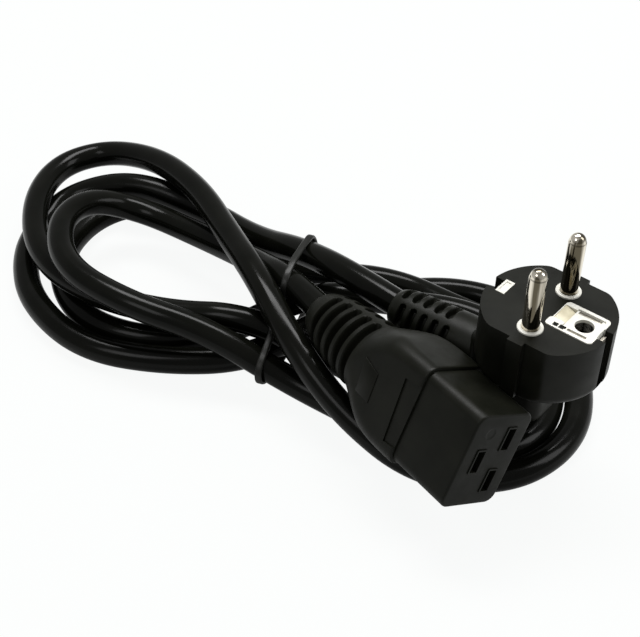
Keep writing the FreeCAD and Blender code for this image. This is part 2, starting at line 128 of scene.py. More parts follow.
class Blend(Enum):
    """How two values of a node tree become one."""

    LARGER = "MAXIMUM"
    PRODUCT = "MULTIPLY"


# Finer layers of the noise in the colour, in the gloss and in the bump of each grain
COLOUR_LAYERS = 4.0
GLOSS_LAYERS = 6.0
BUMP_LAYERS: dict[Grain, float] = {Grain.SPARK: 5.0, Grain.DRAWN: 5.0, Grain.SMOOTH: 2.0}
# Size of the gloss blotches as a share of the colour's, and the noise values at both ends of the gloss
GLOSS_SHARE = 0.45
GLOSS_ENDS = (0.3, 0.7)
# Share of the noise's scale along the drawing direction of a metal
COLOUR_STREAK = 0.05
BUMP_STREAK = 0.012


@dataclass(frozen=True)
class Finish:
    """A procedural finish: a base colour that drifts a little, with grain and uneven gloss. On the nickel
    the drift is wide streaks of painted reflection.

    dark and light are linear colours, and edge holds the noise values at which the colour
    is all dark and all light. Sizes are in millimetres.
    """

    name: str
    dark: Point
    light: Point
    rough_low: float
    rough_high: float
    grain_mm: float
    grain_depth: float
    drift_mm: float = 9.0
    metal: float = 0.0
    specular: float = 0.5
    grain: Grain = Grain.SPARK
    edge: Flat = (0.35, 0.68)

    def material(self) -> bpy.types.Material:
        """Make the node material, or return the one already made.

        Returns:
            The Blender material.
        """
        known = bpy.data.materials.get(self.name)
        if known is not None:
            return known
        material = bpy.data.materials.new(self.name)
        material.use_nodes = True
        tree = material.node_tree
        tree.nodes.clear()
        out = tree.nodes.new("ShaderNodeOutputMaterial")
        shader = tree.nodes.new("ShaderNodeBsdfPrincipled")
        tree.links.new(shader.outputs["BSDF"], out.inputs["Surface"])
        shader.inputs["Metallic"].default_value = self.metal
        shader.inputs["Specular IOR Level"].default_value = self.specular
        place = tree.nodes.new("ShaderNodeTexCoord")
        self._colour(tree, shader, place)
        self._gloss(tree, shader, place)
        self._bump(tree, shader, place)
        return material

    def _noise(self, tree: Tree, place: Node, size_mm: float, layers: float, streak: float = 1.0) -> Node:
        """Noise of a real size on Object coordinates.

        Args:
            tree: node tree of the material.
            place: its Texture Coordinate node.
            size_mm: size of a blotch.
            layers: number of finer layers.
            streak: scale along Z on a drawn metal.

        Returns:
            The noise node.
        """
        mapping = tree.nodes.new("ShaderNodeMapping")
        along = streak if self.grain is Grain.DRAWN else 1.0
        mapping.inputs["Scale"].default_value = (1.0, 1.0, along)
        noise = tree.nodes.new("ShaderNodeTexNoise")
        noise.inputs["Scale"].default_value = MM_PER_METRE / size_mm
        noise.inputs["Detail"].default_value = layers
        tree.links.new(place.outputs["Object"], mapping.inputs["Vector"])
        tree.links.new(mapping.outputs["Vector"], noise.inputs["Vector"])
        return noise

    def _ramp(self, tree: Tree, value: Socket, shader: Node) -> None:
        """Turn a value into a base colour between dark and light.

        Args:
            tree: node tree of the material.
            value: socket of the value.
            shader: its Principled node.
        """
        ramp = tree.nodes.new("ShaderNodeValToRGB")
        ends = ramp.color_ramp.elements
        ends[0].position, ends[1].position = self.edge
        ends[0].color = (*self.dark, 1.0)
        ends[1].color = (*self.light, 1.0)
        tree.links.new(value, ramp.inputs["Fac"])
        tree.links.new(ramp.outputs["Color"], shader.inputs["Base Color"])

    def _colour(self, tree: Tree, shader: Node, place: Node) -> None:
        """Let the colour drift between dark and light.

        Args:
            tree: node tree of the material.
            shader: its Principled node.
            place: its Texture Coordinate node.
        """
        noise = self._noise(tree, place, self.drift_mm, COLOUR_LAYERS, COLOUR_STREAK)
        self._ramp(tree, noise.outputs["Fac"], shader)

    def _gloss(self, tree: Tree, shader: Node, place: Node) -> None:
        """Let the roughness drift between its two values.

        Args:
            tree: node tree of the material.
            shader: its Principled node.
            place: its Texture Coordinate node.
        """
        noise = self._noise(tree, place, self.drift_mm * GLOSS_SHARE, GLOSS_LAYERS)
        spread = tree.nodes.new("ShaderNodeMapRange")
        spread.inputs["From Min"].default_value = GLOSS_ENDS[0]
        spread.inputs["From Max"].default_value = GLOSS_ENDS[1]
        spread.inputs["To Min"].default_value = self.rough_low
        spread.inputs["To Max"].default_value = self.rough_high
        tree.links.new(noise.outputs["Fac"], spread.inputs["Value"])
        tree.links.new(spread.outputs["Result"], shader.inputs["Roughness"])

    def _bump(self, tree: Tree, shader: Node, place: Node) -> None:
        """Fine grain of the mould, or the lines of a drawn metal.

        Args:
            tree: node tree of the material.
            shader: its Principled node.
            place: its Texture Coordinate node.
        """
        fine = self._noise(tree, place, self.grain_mm, BUMP_LAYERS[self.grain], BUMP_STREAK)
        bump = tree.nodes.new("ShaderNodeBump")
        bump.inputs["Strength"].default_value = 1.0
        bump.inputs["Distance"].default_value = self.grain_depth * MM
        tree.links.new(fine.outputs["Fac"], bump.inputs["Height"])
        tree.links.new(bump.outputs["Normal"], shader.inputs["Normal"])


@dataclass(frozen=True)
class StripedFinish(Finish):
    """Green insulation with a yellow stripe, as on an earth core."""

    stripes: float = 120.0
    wobble: float = 1.5

    def _colour(self, tree: Tree, shader: Node, place: Node) -> None:
        """Bands of the two colours in place of the drift.

        Args:
            tree: node tree of the material.
            shader: its Principled node.
            place: its Texture Coordinate node.
        """
        bands = tree.nodes.new("ShaderNodeTexWave")
        bands.inputs["Scale"].default_value = self.stripes
        bands.inputs["Distortion"].default_value = self.wobble
        tree.links.new(place.outputs["Object"], bands.inputs["Vector"])
        self._ramp(tree, bands.outputs["Fac"], shader)


MOULDED_PVC = Finish(
    "moulded_pvc", (0.0040, 0.0043, 0.0027), (0.0068, 0.0071, 0.0048),
    rough_low=0.36, rough_high=0.48, grain_mm=0.22, grain_depth=0.012, specular=0.10,
)
CORD_PVC = Finish(
    "cord_pvc", (0.0020, 0.0022, 0.0015), (0.0038, 0.0040, 0.0029),
    rough_low=0.14, rough_high=0.22, grain_mm=5.0, grain_depth=0.004,
    drift_mm=14.0, specular=0.09, grain=Grain.SMOOTH,
)
WHITE_NYLON = Finish(
    "white_nylon_moulded", (0.62, 0.61, 0.55), (0.74, 0.73, 0.67),
    rough_low=0.34, rough_high=0.46, grain_mm=0.35, grain_depth=0.010, drift_mm=4.0,
)
CREAM_NYLON = Finish(
    "cream_nylon", (0.52, 0.47, 0.33), (0.66, 0.61, 0.45),
    rough_low=0.30, rough_high=0.42, grain_mm=0.35, grain_depth=0.010, drift_mm=3.0,
)
# Nickel: its base colour runs in streaks from near black to bright along the pins. These are painted
# reflections of dark and bright surroundings.
NICKEL_PAINTED_REFLECTIONS = Finish(
    "nickel_painted_reflections", (0.11, 0.095, 0.065), (0.80, 0.74, 0.63),
    rough_low=0.05, rough_high=0.11, grain_mm=1.3, grain_depth=0.006,
    drift_mm=3.0, metal=1.0, grain=Grain.DRAWN, edge=(0.43, 0.57),
)
STRIP_METAL = Finish(
    "tinned_strip", (0.30, 0.28, 0.24), (0.44, 0.41, 0.36),
    rough_low=0.30, rough_high=0.45, grain_mm=0.25, grain_depth=0.006,
    drift_mm=2.0, metal=1.0, grain=Grain.DRAWN,
)
BARE_COPPER = Finish(
    "bare_copper", (0.60, 0.25, 0.13), (0.74, 0.36, 0.20),
    rough_low=0.25, rough_high=0.38, grain_mm=0.30, grain_depth=0.020,
    drift_mm=2.0, metal=1.0, grain=Grain.DRAWN,
)
BROWN_CORE = Finish(
    "brown_insulation", (0.060, 0.022, 0.010), (0.085, 0.034, 0.016),
    rough_low=0.32, rough_high=0.44, grain_mm=0.5, grain_depth=0.008,
)
BLUE_CORE = Finish(
    "blue_insulation", (0.010, 0.065, 0.230), (0.018, 0.090, 0.300),
    rough_low=0.32, rough_high=0.44, grain_mm=0.5, grain_depth=0.008,
)
EARTH_CORE = StripedFinish(
    "earth_insulation", (0.020, 0.180, 0.030), (0.620, 0.480, 0.030),
    rough_low=0.32, rough_high=0.44, grain_mm=0.5, grain_depth=0.008, edge=(0.45, 0.55),
)
TIE_PLASTIC = Finish(
    "tie_strip", (0.0060, 0.0062, 0.0052), (0.0100, 0.0102, 0.0088),
    rough_low=0.32, rough_high=0.44, grain_mm=0.6, grain_depth=0.015, specular=0.18,
)

BY_SLOT: dict[Slot, Finish] = {
    Slot.HOUSING: MOULDED_PVC,
    Slot.SHEATH: CORD_PVC,
    Slot.WHITE: WHITE_NYLON,
    Slot.NICKEL: NICKEL_PAINTED_REFLECTIONS,
    Slot.STRIP: STRIP_METAL,
    Slot.BROWN: BROWN_CORE,
    Slot.BLUE: BLUE_CORE,
    Slot.STRIPED: EARTH_CORE,
    Slot.COPPER: BARE_COPPER,
    Slot.TIE: TIE_PLASTIC,
}


@dataclass(frozen=True)
class Pose:
    """A place and turn in the shared frame, in millimetres, as in the part's source."""

    origin: Point
    x_axis: Point
    z_axis: Point

    def matrix(self) -> Matrix:
        """Own millimetres to shared metres.

        Returns:
            A 4 by 4 matrix.
        """
        z = Vector(self.z_axis).normalized()
        x = Vector(self.x_axis)
        x = (x - z * x.dot(z)).normalized()
        y = z.cross(x)
        turn = Matrix((x, y, z)).transposed().to_4x4()
        return Matrix.Scale(MM, 4) @ Matrix.Translation(Vector(self.origin)) @ turn


CONNECTOR = Pose((52.3, -76.3, 27.5), (0.3533, 0.2650, 0.8972), (0.57709, -0.81656, 0.01396))
PLUG = Pose((69.1, -46.4, 53.0), (0.7863, -0.6173, -0.0275), (0.03490, 0.0, 0.99939))


def smooth_step(low: float, high: float, value: float) -> float:
    """Soft step from 0 at low to 1 at high.

    Args:
        low: start of the step.
        high: end of the step.
        value: place looked up.

    Returns:
        A number from 0 to 1.
    """
    t = min(1.0, max(0.0, (value - low) / (high - low)))
    return t * t * (3.0 - 2.0 * t)


def shared_slope(outer: float, inner: float) -> float:
    """Slope at a row of a table, such that the curve overshoots on neither side of it.

    Args:
        outer: slope of the stretch that is left or entered.
        inner: slope of the stretch that is looked up.

    Returns:
        The slope at the row.
    """
    if outer * inner <= 0.0:
        return 0.0
    return 2.0 * outer * inner / (outer + inner)


def between(rows: tuple[tuple[float, ...], ...], place: float) -> tuple[float, ...]:
    """Smooth values at a place in a table whose first column rises.

    Args:
        rows: (place, value, value...) rows.
        place: where to read it.

    Returns:
        The values there.
    """
    if place <= rows[0][0]:
        return rows[0][1:]
    for k in range(len(rows) - 1):
        if place <= rows[k + 1][0]:
            break
    else:
        return rows[-1][1:]
    before = rows[max(k - 1, 0)]
    low, high = rows[k], rows[k + 1]
    after = rows[min(k + 2, len(rows) - 1)]
    span = high[0] - low[0]
    t = (place - low[0]) / span
    low_share = (1 + 2 * t) * (1 - t) ** 2
    low_slope_share = t * (1 - t) ** 2
    high_share = t * t * (3 - 2 * t)
    high_slope_share = t * t * (t - 1)
    values = []
    for c in range(1, len(low)):
        rise = (high[c] - low[c]) / span
        back = (low[c] - before[c]) / (low[0] - before[0]) if before is not low else rise
        ahead = (after[c] - high[c]) / (after[0] - high[0]) if after is not high else rise
        values.append(low_share * low[c] + low_slope_share * span * shared_slope(back, rise)
                      + high_share * high[c] + high_slope_share * span * shared_slope(ahead, rise))
    return tuple(values)


def rounded_reach(angle: float, half_x: float, half_y: float, radius: float) -> float:
    """Distance from the middle to a rounded rectangle in one direction.

    Args:
        angle: direction from X.
        half_x: half width.
        half_y: half height.
        radius: corner radius.

    Returns:
        The distance.
    """
    c = abs(math.cos(angle))
    s = abs(math.sin(angle))
    ax = half_x - radius
    ay = half_y - radius
    if c > TINY and half_x * s / c <= ay:
        return half_x / c
    if s > TINY and half_y * c / s <= ax:
        return half_y / s
    along = c * ax + s * ay
    return along + math.sqrt(max(0.0, along * along - (ax * ax + ay * ay - radius * radius)))


def lathe(profile: list[Flat], columns: int) -> Mesh:
    """Full turn of a profile about Z.

    Args:
        profile: (radius, height) points.
        columns: number of steps in the turn.

    Returns:
        The new mesh, with its normals outwards and its poles closed.
    """
    bm = bmesh.new()
    verts = [bm.verts.new((r, 0.0, z)) for r, z in profile]
    edges = [bm.edges.new(pair) for pair in zip(verts, verts[1:])]
    bmesh.ops.spin(bm, geom=verts + edges, cent=(0, 0, 0), axis=(0, 0, 1), angle=FULL_TURN,
                   steps=columns, use_merge=True)
    bmesh.ops.remove_doubles(bm, verts=bm.verts, dist=MERGE)
    open_edges = [e for e in bm.edges if e.is_boundary]
    if open_edges:
        bmesh.ops.holes_fill(bm, edges=open_edges, sides=0)
    bmesh.ops.recalc_face_normals(bm, faces=bm.faces)
    return bm


def set_reach(bm: Mesh, reach: Callable[[float, float], float]) -> None:
    """Move each vertex of a lathed mesh in or out, level with its height.

    Args:
        bm: mesh that is changed.
        reach: gives the distance from Z for a height and a direction in radians.
    """
    for vert in bm.verts:
        angle = math.atan2(vert.co.y, vert.co.x)
        distance = reach(vert.co.z, angle)
        vert.co.x = distance * math.cos(angle)
        vert.co.y = distance * math.sin(angle)


def round_edges(bm: Mesh, edges: list[bmesh.types.BMEdge], radius: float, segments: int) -> None:
    """Round some edges of a mesh.

    Args:
        bm: mesh that is changed.
        edges: its edges that get round.
        radius: width of the rounding.
        segments: faces across it.
    """
    bmesh.ops.bevel(bm, geom=edges, offset=radius, affect="EDGES", segments=segments,
                    profile=0.5, material=-1)


@dataclass(frozen=True)
class Block:
    """Box between two corners, with its edges rounded, or only those along Z."""

    low: Point
    high: Point
    radius: float = 0.0
    segments: int = 3
    upright: bool = False

    def mesh(self) -> Mesh:
        """Mesh of the box.

        Returns:
            The new mesh.
        """
        bm = bmesh.new()
        bmesh.ops.create_cube(bm, size=1.0)
        size = Vector(self.high) - Vector(self.low)
        middle = (Vector(self.high) + Vector(self.low)) / 2.0
        bmesh.ops.scale(bm, vec=size, verts=bm.verts)
        bmesh.ops.translate(bm, vec=middle, verts=bm.verts)
        if self.radius > 0.0:
            edges = [e for e in bm.edges
                     if not self.upright or abs(e.verts[0].co.z - e.verts[1].co.z) > TINY]
            round_edges(bm, edges, self.radius, self.segments)
        return bm


def prism(outline: tuple[Flat, ...], low: float, high: float) -> Mesh:
    """Flat shape in the X and Z plane, drawn out along Y.

    Args:
        outline: (x, z) corners in order.
        low: Y of its back.
        high: Y of its front.

    Returns:
        The new mesh.
    """
    bm = bmesh.new()
    corners = [bm.verts.new((x, low, z)) for x, z in outline]
    made = bmesh.ops.extrude_face_region(bm, geom=[bm.faces.new(corners)])
    lifted = [g for g in made["geom"] if isinstance(g, bmesh.types.BMVert)]
    bmesh.ops.translate(bm, vec=(0.0, high - low, 0.0), verts=lifted)
    bmesh.ops.recalc_face_normals(bm, faces=bm.faces)
    return bm


def rod(radius: float, low: float, high: float, at: Flat, columns: int) -> Mesh:
    """Upright round rod.

    Args:
        radius: its radius.
        low: bottom.
        high: top.
        at: place of its axis.
        columns: sides.

    Returns:
        The new mesh.
    """
    bm = bmesh.new()
    bmesh.ops.create_cone(bm, cap_ends=True, segments=columns, radius1=radius, radius2=radius,
                          depth=high - low)
    bmesh.ops.translate(bm, vec=(at[0], at[1], (low + high) / 2.0), verts=bm.verts)
    return bm


def linked(name: str, data: bpy.types.ID) -> bpy.types.Object:
    """New object in the scene.

    Args:
        name: its name.
        data: its mesh, curve, lamp or camera.

    Returns:
        The object.
    """
    thing = bpy.data.objects.new(name, data)
    bpy.context.scene.collection.objects.link(thing)
    return thing


def as_object(name: str, bm: Mesh) -> bpy.types.Object:
    """Object of a mesh, with the mesh freed.

    Args:
        name: its name.
        bm: its mesh.

    Returns:
        The linked object.
    """
    mesh = bpy.data.meshes.new(name)
    bm.to_mesh(mesh)
    bm.free()
    return linked(name, mesh)


def carve(base: Mesh, tools: list[Mesh], carving: Carving = Carving.CUT) -> Mesh:
    """Cut tools from a mesh, or join them to it, one after the other.

    Args:
        base: mesh that is used up.
        tools: meshes that act on it, used up too.
        carving: what they do to it.

    Returns:
        The new mesh.
    """
    body = as_object("carve_base", base)
    helpers = [as_object("carve_tool", tool) for tool in tools]
    for helper in helpers:
        modifier = body.modifiers.new("carve", "BOOLEAN")
        modifier.operation = carving.value
        modifier.solver = "EXACT"
        modifier.object = helper
    graph = bpy.context.evaluated_depsgraph_get()
    mesh = bpy.data.meshes.new_from_object(body.evaluated_get(graph))
    result = bmesh.new()
    result.from_mesh(mesh)
    for thing in [body] + helpers:
        old = thing.data
        bpy.data.objects.remove(thing)
        bpy.data.meshes.remove(old)
    bpy.data.meshes.remove(mesh)
    bmesh.ops.remove_doubles(result, verts=result.verts, dist=MERGE)
    return result


def add(target: Mesh, part: Mesh) -> None:
    """Put one mesh's islands into another.

    Args:
        target: mesh that receives them.
        part: mesh that is used up.
    """
    mesh = bpy.data.meshes.new("add")
    part.to_mesh(mesh)
    part.free()
    target.from_mesh(mesh)
    bpy.data.meshes.remove(mesh)


# Angles in degrees past which a live rounding acts and past which an edge is drawn sharp
SOFTEN_PAST = 30.0
SHARP_PAST = 35.0
SHARP_PAST_ON_ROUNDS = 60.0
SOFT_EDGE_SEGMENTS = 2


def finish_piece(name: str, bm: Mesh, pose: Pose, finish: Finish,
                 nodes: tuple[str, ...] = (), soft_edge: float = 0.0,
                 sharp: float = SHARP_PAST) -> bpy.types.Object:
    """Put a mesh in its place, dress it, hang it on the root body and hide the CAD nodes that it stands
    for.

    Args:
        name: name of the piece.
        bm: mesh in its own millimetres, used up.
        pose: where it sits.
        finish: its finish.
        nodes: CAD nodes that it stands for.
        soft_edge: width of a live edge rounding, in millimetres.
        sharp: angle in degrees past which an edge is drawn sharp.

    Returns:
        The finished object.
    """
    bmesh.ops.transform(bm, matrix=pose.matrix(), verts=bm.verts)
    for face in bm.faces:
        face.smooth = True
    piece = as_object(name, bm)
    piece.data.set_sharp_from_angle(angle=math.radians(sharp))
    if soft_edge > 0.0:
        modifier = piece.modifiers.new("soft_edge", "BEVEL")
        modifier.width = soft_edge * MM
        modifier.segments = SOFT_EDGE_SEGMENTS
        modifier.limit_method = "ANGLE"
        modifier.angle_limit = math.radians(SOFTEN_PAST)
        modifier.harden_normals = True
    piece.data.materials.append(finish.material())
    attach(piece, "root")
    if nodes:
        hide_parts(*nodes)
    LOG.info("%s: %d faces", name, len(piece.data.polygons))
    return piece


@dataclass(frozen=True)
class SlotRow:
    """A row of curved slots along a strain relief.

    middle and span are degrees round the relief, shift is in pitches along it.
    """

    middle: float
    span: float
    shift: float = 0.0


@dataclass(frozen=True)
class StrainRelief:
    """Tapered sleeve with rows of curved slots, measured along the cord.

    profile holds (place, radius) rows. The slots lie between cut_from and cut_to, soft is
    half the width of their rounded edge, and the sleeve ends at mouth, where it meets the
    cord. edge_steps and least_step space the rows of the grid.
    """

    profile: tuple[Flat, ...]
    rows: tuple[SlotRow, ...]
    first: float
    pitch: float
    slot_w: float
    depth: float
    soft: float
    cut_from: float
    cut_to: float
    mouth: float
    mouth_r: float = 3.9
    count: int = 5
    edge_steps: tuple[float, ...] = (-0.2, -0.08, 0.05, 0.18, 0.5)
    least_step: float = 0.07

    def heights(self) -> list[float]:
        """Rows of the grid, closer at the edges of each slot.

        Returns:
            Heights from low to high.
        """
        found = {round(z, 3) for z, _ in self.profile}
        half = self.slot_w / 2.0
        steps = [0.0, half / 2.0] + [half + step for step in self.edge_steps]
        for row in self.rows:
            for k in range(self.count):
                middle = self.first + (k + row.shift) * self.pitch
                for step in steps:
                    found.add(round(middle - step, 3))
                    found.add(round(middle + step, 3))
        low = self.profile[0][0]
        high = self.profile[-1][0]
        kept: list[float] = []
        for z in sorted(found):
            if low <= z <= high and (not kept or z - kept[-1] > self.least_step):
                kept.append(z)
        return kept + [self.mouth]

    def sunk(self, z: float, angle: float, radius: float) -> float:
        """Depth of the slots at a place.

        Args:
            z: height.
            angle: direction in radians.
            radius: radius there, before it is cut.

        Returns:
            Depth below that radius.
        """
        half = self.slot_w / 2.0
        rim = half + self.soft
        deepest = 0.0
        for row in self.rows:
            turn = abs(math.remainder(angle - math.radians(row.middle), FULL_TURN))
            straight = radius * math.radians(row.span) / 2.0 - half
            aside = max(0.0, turn * radius - straight)
            if aside > rim:
                continue
            for k in range(self.count):
                along = abs(z - self.first - (k + row.shift) * self.pitch)
                if along > rim:
                    continue
                open_share = 1.0 - smooth_step(half - self.soft, rim, math.hypot(aside, along))
                deepest = max(deepest, self.depth * open_share)
        return deepest

    def reach(self, z: float, angle: float) -> float:
        """Distance of the surface from the cord's axis.

        Args:
            z: height.
            angle: direction in radians.

        Returns:
            The distance.
        """
        if z > (self.profile[-1][0] + self.mouth) / 2.0:
            return self.mouth_r
        radius = between(self.profile, z)[0]
        if self.cut_from < z < self.cut_to:
            radius -= self.sunk(z, angle, radius)
        return radius


@dataclass
class Connector:
    """Connector with three slots: nose, grip and strain relief.

    Its Z points out of the face, and s counts back from the face along the cord.
    sections holds (s, half width, half height, corner radius) rows of the grip, lead_rows
    holds (s, how far the outline is drawn in) at its rounded front edge, and field and pad
    are (x, z) outlines on its upper side.
    """

    pose: Pose = CONNECTOR
    # Nose
    nose_x: float = 28.4
    nose_y: float = 20.4
    nose_r: float = 3.0
    nose_l: float = 20.5
    nose_segments: int = 10
    tenon: float = 1.5
    face_r: float = 0.7
    face_segments: int = 4
    nose_soft: float = 0.14
    # Slots in the face, their rims and the chambers behind them
    slot_l: float = 6.5
    slot_w: float = 2.6
    slot_gap: float = 13.0
    slot_off: float = 4.0
    rim: float = 0.5
    rim_h: float = 0.3
    rim_r: float = 0.3
    rim_root: float = 1.0
    lip: float = 2.0
    lip_overlap: float = 0.5
    chamber_x: float = 7.9
    chamber_y: float = 4.1
    chamber_l: float = 18.1
    # Round mark of the mould in the face
    mark_at: Flat = (8.5, 3.7)
    mark: tuple[Flat, ...] = ((0.0, -0.10), (0.9, -0.14), (1.4, -0.12), (1.75, -0.02),
                              (1.8, 0.5), (0.0, 0.5))
    mark_columns: int = 64
    # Grip and strain relief
    sections: tuple[tuple[float, float, float, float], ...] = (
        (20.9, 15.15, 11.15, 3.7), (27.0, 15.25, 11.2, 3.9), (32.0, 15.2, 11.2, 4.4),
        (36.0, 14.95, 11.18, 5.4), (40.0, 13.9, 11.1, 7.2), (43.5, 12.5, 11.05, 9.2),
        (47.0, 10.96, 10.96, 10.95),
    )
    lead_rows: tuple[Flat, ...] = ((20.5, 2.2), (20.52, 0.75), (20.62, 0.35), (20.8, 0.1))
    front_rows: tuple[float, ...] = (21.1, 21.6, 22.4, 23.5)
    even_from: float = 25.0
    even_step: float = 1.1
    even_count: int = 20
    least_corner: float = 0.5
    columns: int = 208
    # Shallow field and pad on the upper side of the grip
    field: tuple[Flat, ...] = ((8.4, -26.5), (-10.4, -24.9), (-9.8, -20.0), (9.2, -20.0))
    field_floor: float = 10.78
    field_top: float = 12.5
    pad: tuple[Flat, ...] = ((5.2, -41.7), (3.6, -35.3), (-5.2, -34.8), (-4.7, -40.5))
    pad_root: float = 10.0
    pad_top: float = 11.42
    pad_r: float = 0.14
    pad_segments: int = 2
    relief: StrainRelief = StrainRelief(
        profile=((47.0, 10.95), (50.0, 10.75), (54.0, 10.35), (59.0, 9.8), (64.0, 9.1),
                 (67.0, 8.45), (69.5, 7.7), (71.5, 6.9), (72.8, 6.1), (73.6, 5.3), (73.95, 4.7)),
        rows=(SlotRow(90.0, 152.0), SlotRow(277.0, 166.0)),
        first=49.0, pitch=4.35, slot_w=2.05, depth=2.6, soft=0.42,
        cut_from=47.6, cut_to=69.5, mouth=73.99,
    )

    def spots(self) -> list[Flat]:
        """Centres of the three slots."""
        half = self.slot_gap / 2.0
        return [(half, -self.slot_off), (-half, -self.slot_off), (0.0, self.slot_off)]

    def around(self, spot: Flat, half_x: float, half_y: float, low: float, high: float,
               radius: float = 0.0) -> Mesh:
        """Upright box round the centre of a slot.

        Args:
            spot: centre of the slot.
            half_x: half width.
            half_y: half height.
            low: bottom.
            high: top.
            radius: radius of its upright edges.

        Returns:
            The new mesh.
        """
        x, y = spot
        return Block((x - half_x, y - half_y, low), (x + half_x, y + half_y, high), radius,
                     upright=True).mesh()

    def nose(self) -> bpy.types.Object:
        """Nose block with its slots, rims and the round mark of the mould.

        Returns:
            The nose.
        """
        half_x = self.nose_x / 2.0
        half_y = self.nose_y / 2.0
        bm = Block((-half_x, -half_y, -self.nose_l - self.tenon), (half_x, half_y, 0.0),
                   self.nose_r, self.nose_segments, upright=True).mesh()
        front = [e for e in bm.edges if all(abs(v.co.z) < TINY for v in e.verts)]
        round_edges(bm, front, self.face_r, self.face_segments)
        slot_x = self.slot_l / 2.0
        slot_y = self.slot_w / 2.0
        for spot in self.spots():
            lug = self.around(spot, slot_x + self.rim, slot_y + self.rim, -self.rim_root,
                              self.rim_h, self.rim_r)
            bm = carve(bm, [lug], Carving.JOIN)
        tools = []
        for spot in self.spots():
            tools.append(self.around(spot, slot_x, slot_y, -self.lip - self.lip_overlap, PROUD))
            tools.append(self.around(spot, self.chamber_x / 2.0, self.chamber_y / 2.0,
                                     -self.chamber_l, -self.lip))
        mark = lathe(list(self.mark), self.mark_columns)
        bmesh.ops.translate(mark, vec=(*self.mark_at, 0.0), verts=mark.verts)
        bm = carve(bm, tools + [mark])
        return finish_piece("connector_nose", bm, self.pose, MOULDED_PVC,
                            ("connector_insert",), self.nose_soft)

    def grip_reach(self, z: float, angle: float) -> float:
        """Distance of the grip's or the strain relief's surface from the axis.

        Args:
            z: height, below the face.
            angle: direction in radians.

        Returns:
            The distance.
        """
        s = -z
        if s > self.sections[-1][0]:
            return self.relief.reach(s, angle)
        half_x, half_y, corner = between(self.sections, s)
        inward = dict(self.lead_rows).get(round(s, 2), 0.0)
        return rounded_reach(angle, half_x - inward, half_y - inward,
                             max(self.least_corner, corner - inward))

    def grip(self) -> bpy.types.Object:
        """Grip that narrows from the nose to the strain relief, in one with it.

        Returns:
            The grip.
        """
        rows = [s for s, _ in self.lead_rows] + list(self.front_rows)
        rows += [self.even_from + self.even_step * k for k in range(self.even_count)]
        bm = lathe([(1.0, -s) for s in rows + self.relief.heights()], self.columns)
        set_reach(bm, self.grip_reach)
        bm = carve(bm, [prism(self.field, self.field_floor, self.field_top)])
        plate = prism(self.pad, self.pad_root, self.pad_top)
        round_edges(plate, list(plate.edges), self.pad_r, self.pad_segments)
        add(bm, plate)
        return finish_piece("connector_grip", bm, self.pose, MOULDED_PVC,
                            ("connector_body",))

    def build(self) -> list[bpy.types.Object]:
        """Build the visible pieces in order."""
        return [self.nose(), self.grip()]


